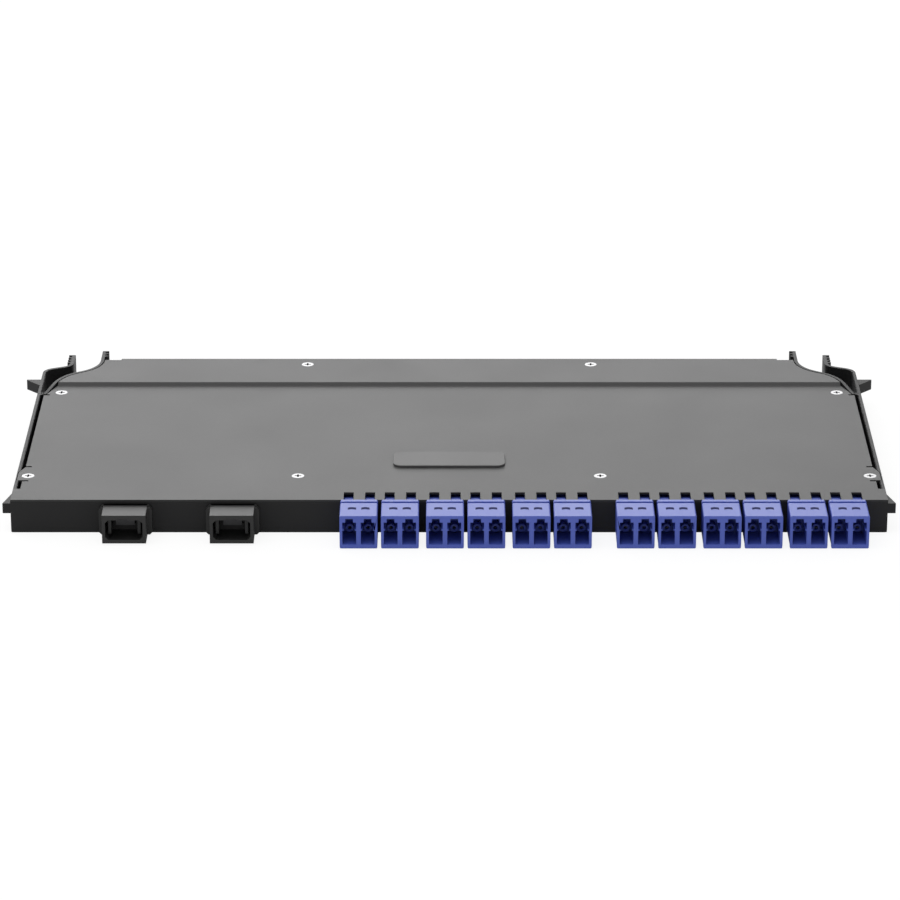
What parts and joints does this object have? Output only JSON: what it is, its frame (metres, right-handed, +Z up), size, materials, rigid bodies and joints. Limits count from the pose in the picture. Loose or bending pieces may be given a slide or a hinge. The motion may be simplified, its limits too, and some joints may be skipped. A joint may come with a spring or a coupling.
{
  "type": "fibre cassette",
  "caption": "Flat fibre patching cassette: moulded tray with sheet cover, duplex and multi-fibre adapters in front, squeeze latches at the rear corners.",
  "frame": {"origin": "middle of the underside of the whole cassette's box", "axes": "+X to the right seen from the adapters, +Y from the adapters to the latches, +Z up"},
  "size_m": [0.31, 0.1652, 0.013],
  "materials": {
    "tray_black": "satin moulded",
    "cover_grey": "satin coated",
    "screw_metal": "bright plated",
    "adapter_blue": "satin moulded",
    "adapter_black": "satin moulded",
    "plug_blue": "satin moulded",
    "plug_black": "satin moulded",
    "ceramic_white": "polished ceramic",
    "ferrule_grey": "filled resin",
    "fibre_yellow": "soft jacket"
  },
  "bodies": {
    "cassette": {"alignment_sleeves": "ceramic_white", "badge_plate": "cover_grey", "base_tray": "tray_black", "bend_former_1": "tray_black", "bend_former_2": "tray_black", "bend_former_3": "tray_black", "bend_former_4": "tray_black", "cover_screws": "screw_metal", "fanout_block_a": "plug_black", "fanout_block_b": "plug_black", "fibre_harness_a": "fibre_yellow", "fibre_harness_b": "fibre_yellow", "lc_adapter_01": "adapter_blue", "lc_adapter_02": "adapter_blue", "lc_adapter_03": "adapter_blue", "lc_adapter_04": "adapter_blue", "lc_adapter_05": "adapter_blue", "lc_adapter_06": "adapter_blue", "lc_adapter_07": "adapter_blue", "lc_adapter_08": "adapter_blue", "lc_adapter_09": "adapter_blue", "lc_adapter_10": "adapter_blue", "lc_adapter_11": "adapter_blue", "lc_adapter_12": "adapter_blue", "lc_plug_pair_01": "plug_blue", "lc_plug_pair_02": "plug_blue", "lc_plug_pair_03": "plug_blue", "lc_plug_pair_04": "plug_blue", "lc_plug_pair_05": "plug_blue", "lc_plug_pair_06": "plug_blue", "lc_plug_pair_07": "plug_blue", "lc_plug_pair_08": "plug_blue", "lc_plug_pair_09": "plug_blue", "lc_plug_pair_10": "plug_blue", "lc_plug_pair_11": "plug_blue", "lc_plug_pair_12": "plug_blue", "mpo_adapter_a": "adapter_black", "mpo_adapter_b": "adapter_black", "mpo_ferrule_a": "ferrule_grey", "mpo_ferrule_b": "ferrule_grey", "mpo_plug_a": "plug_black", "mpo_plug_b": "plug_black", "ribbon_lead_a": "fibre_yellow", "ribbon_lead_b": "fibre_yellow", "top_cover": "cover_grey"},
    "left_latch": {"left_latch_arm": "tray_black"},
    "right_latch": {"right_latch_arm": "tray_black"}
  },
  "joints": [
    {"name": "left_latch_squeeze", "type": "hinge", "parent": "cassette", "child": "left_latch", "pos_m": [-0.14885, 0.03945, 0.006], "axis": [0, 0, -1], "range_deg": [0, 8], "stiffness_Nm_per_rad": 0.08},
    {"name": "right_latch_squeeze", "type": "hinge", "parent": "cassette", "child": "right_latch", "pos_m": [0.14885, 0.03945, 0.006], "axis": [0, 0, 1], "range_deg": [0, 8], "stiffness_Nm_per_rad": 0.08}
  ]
}
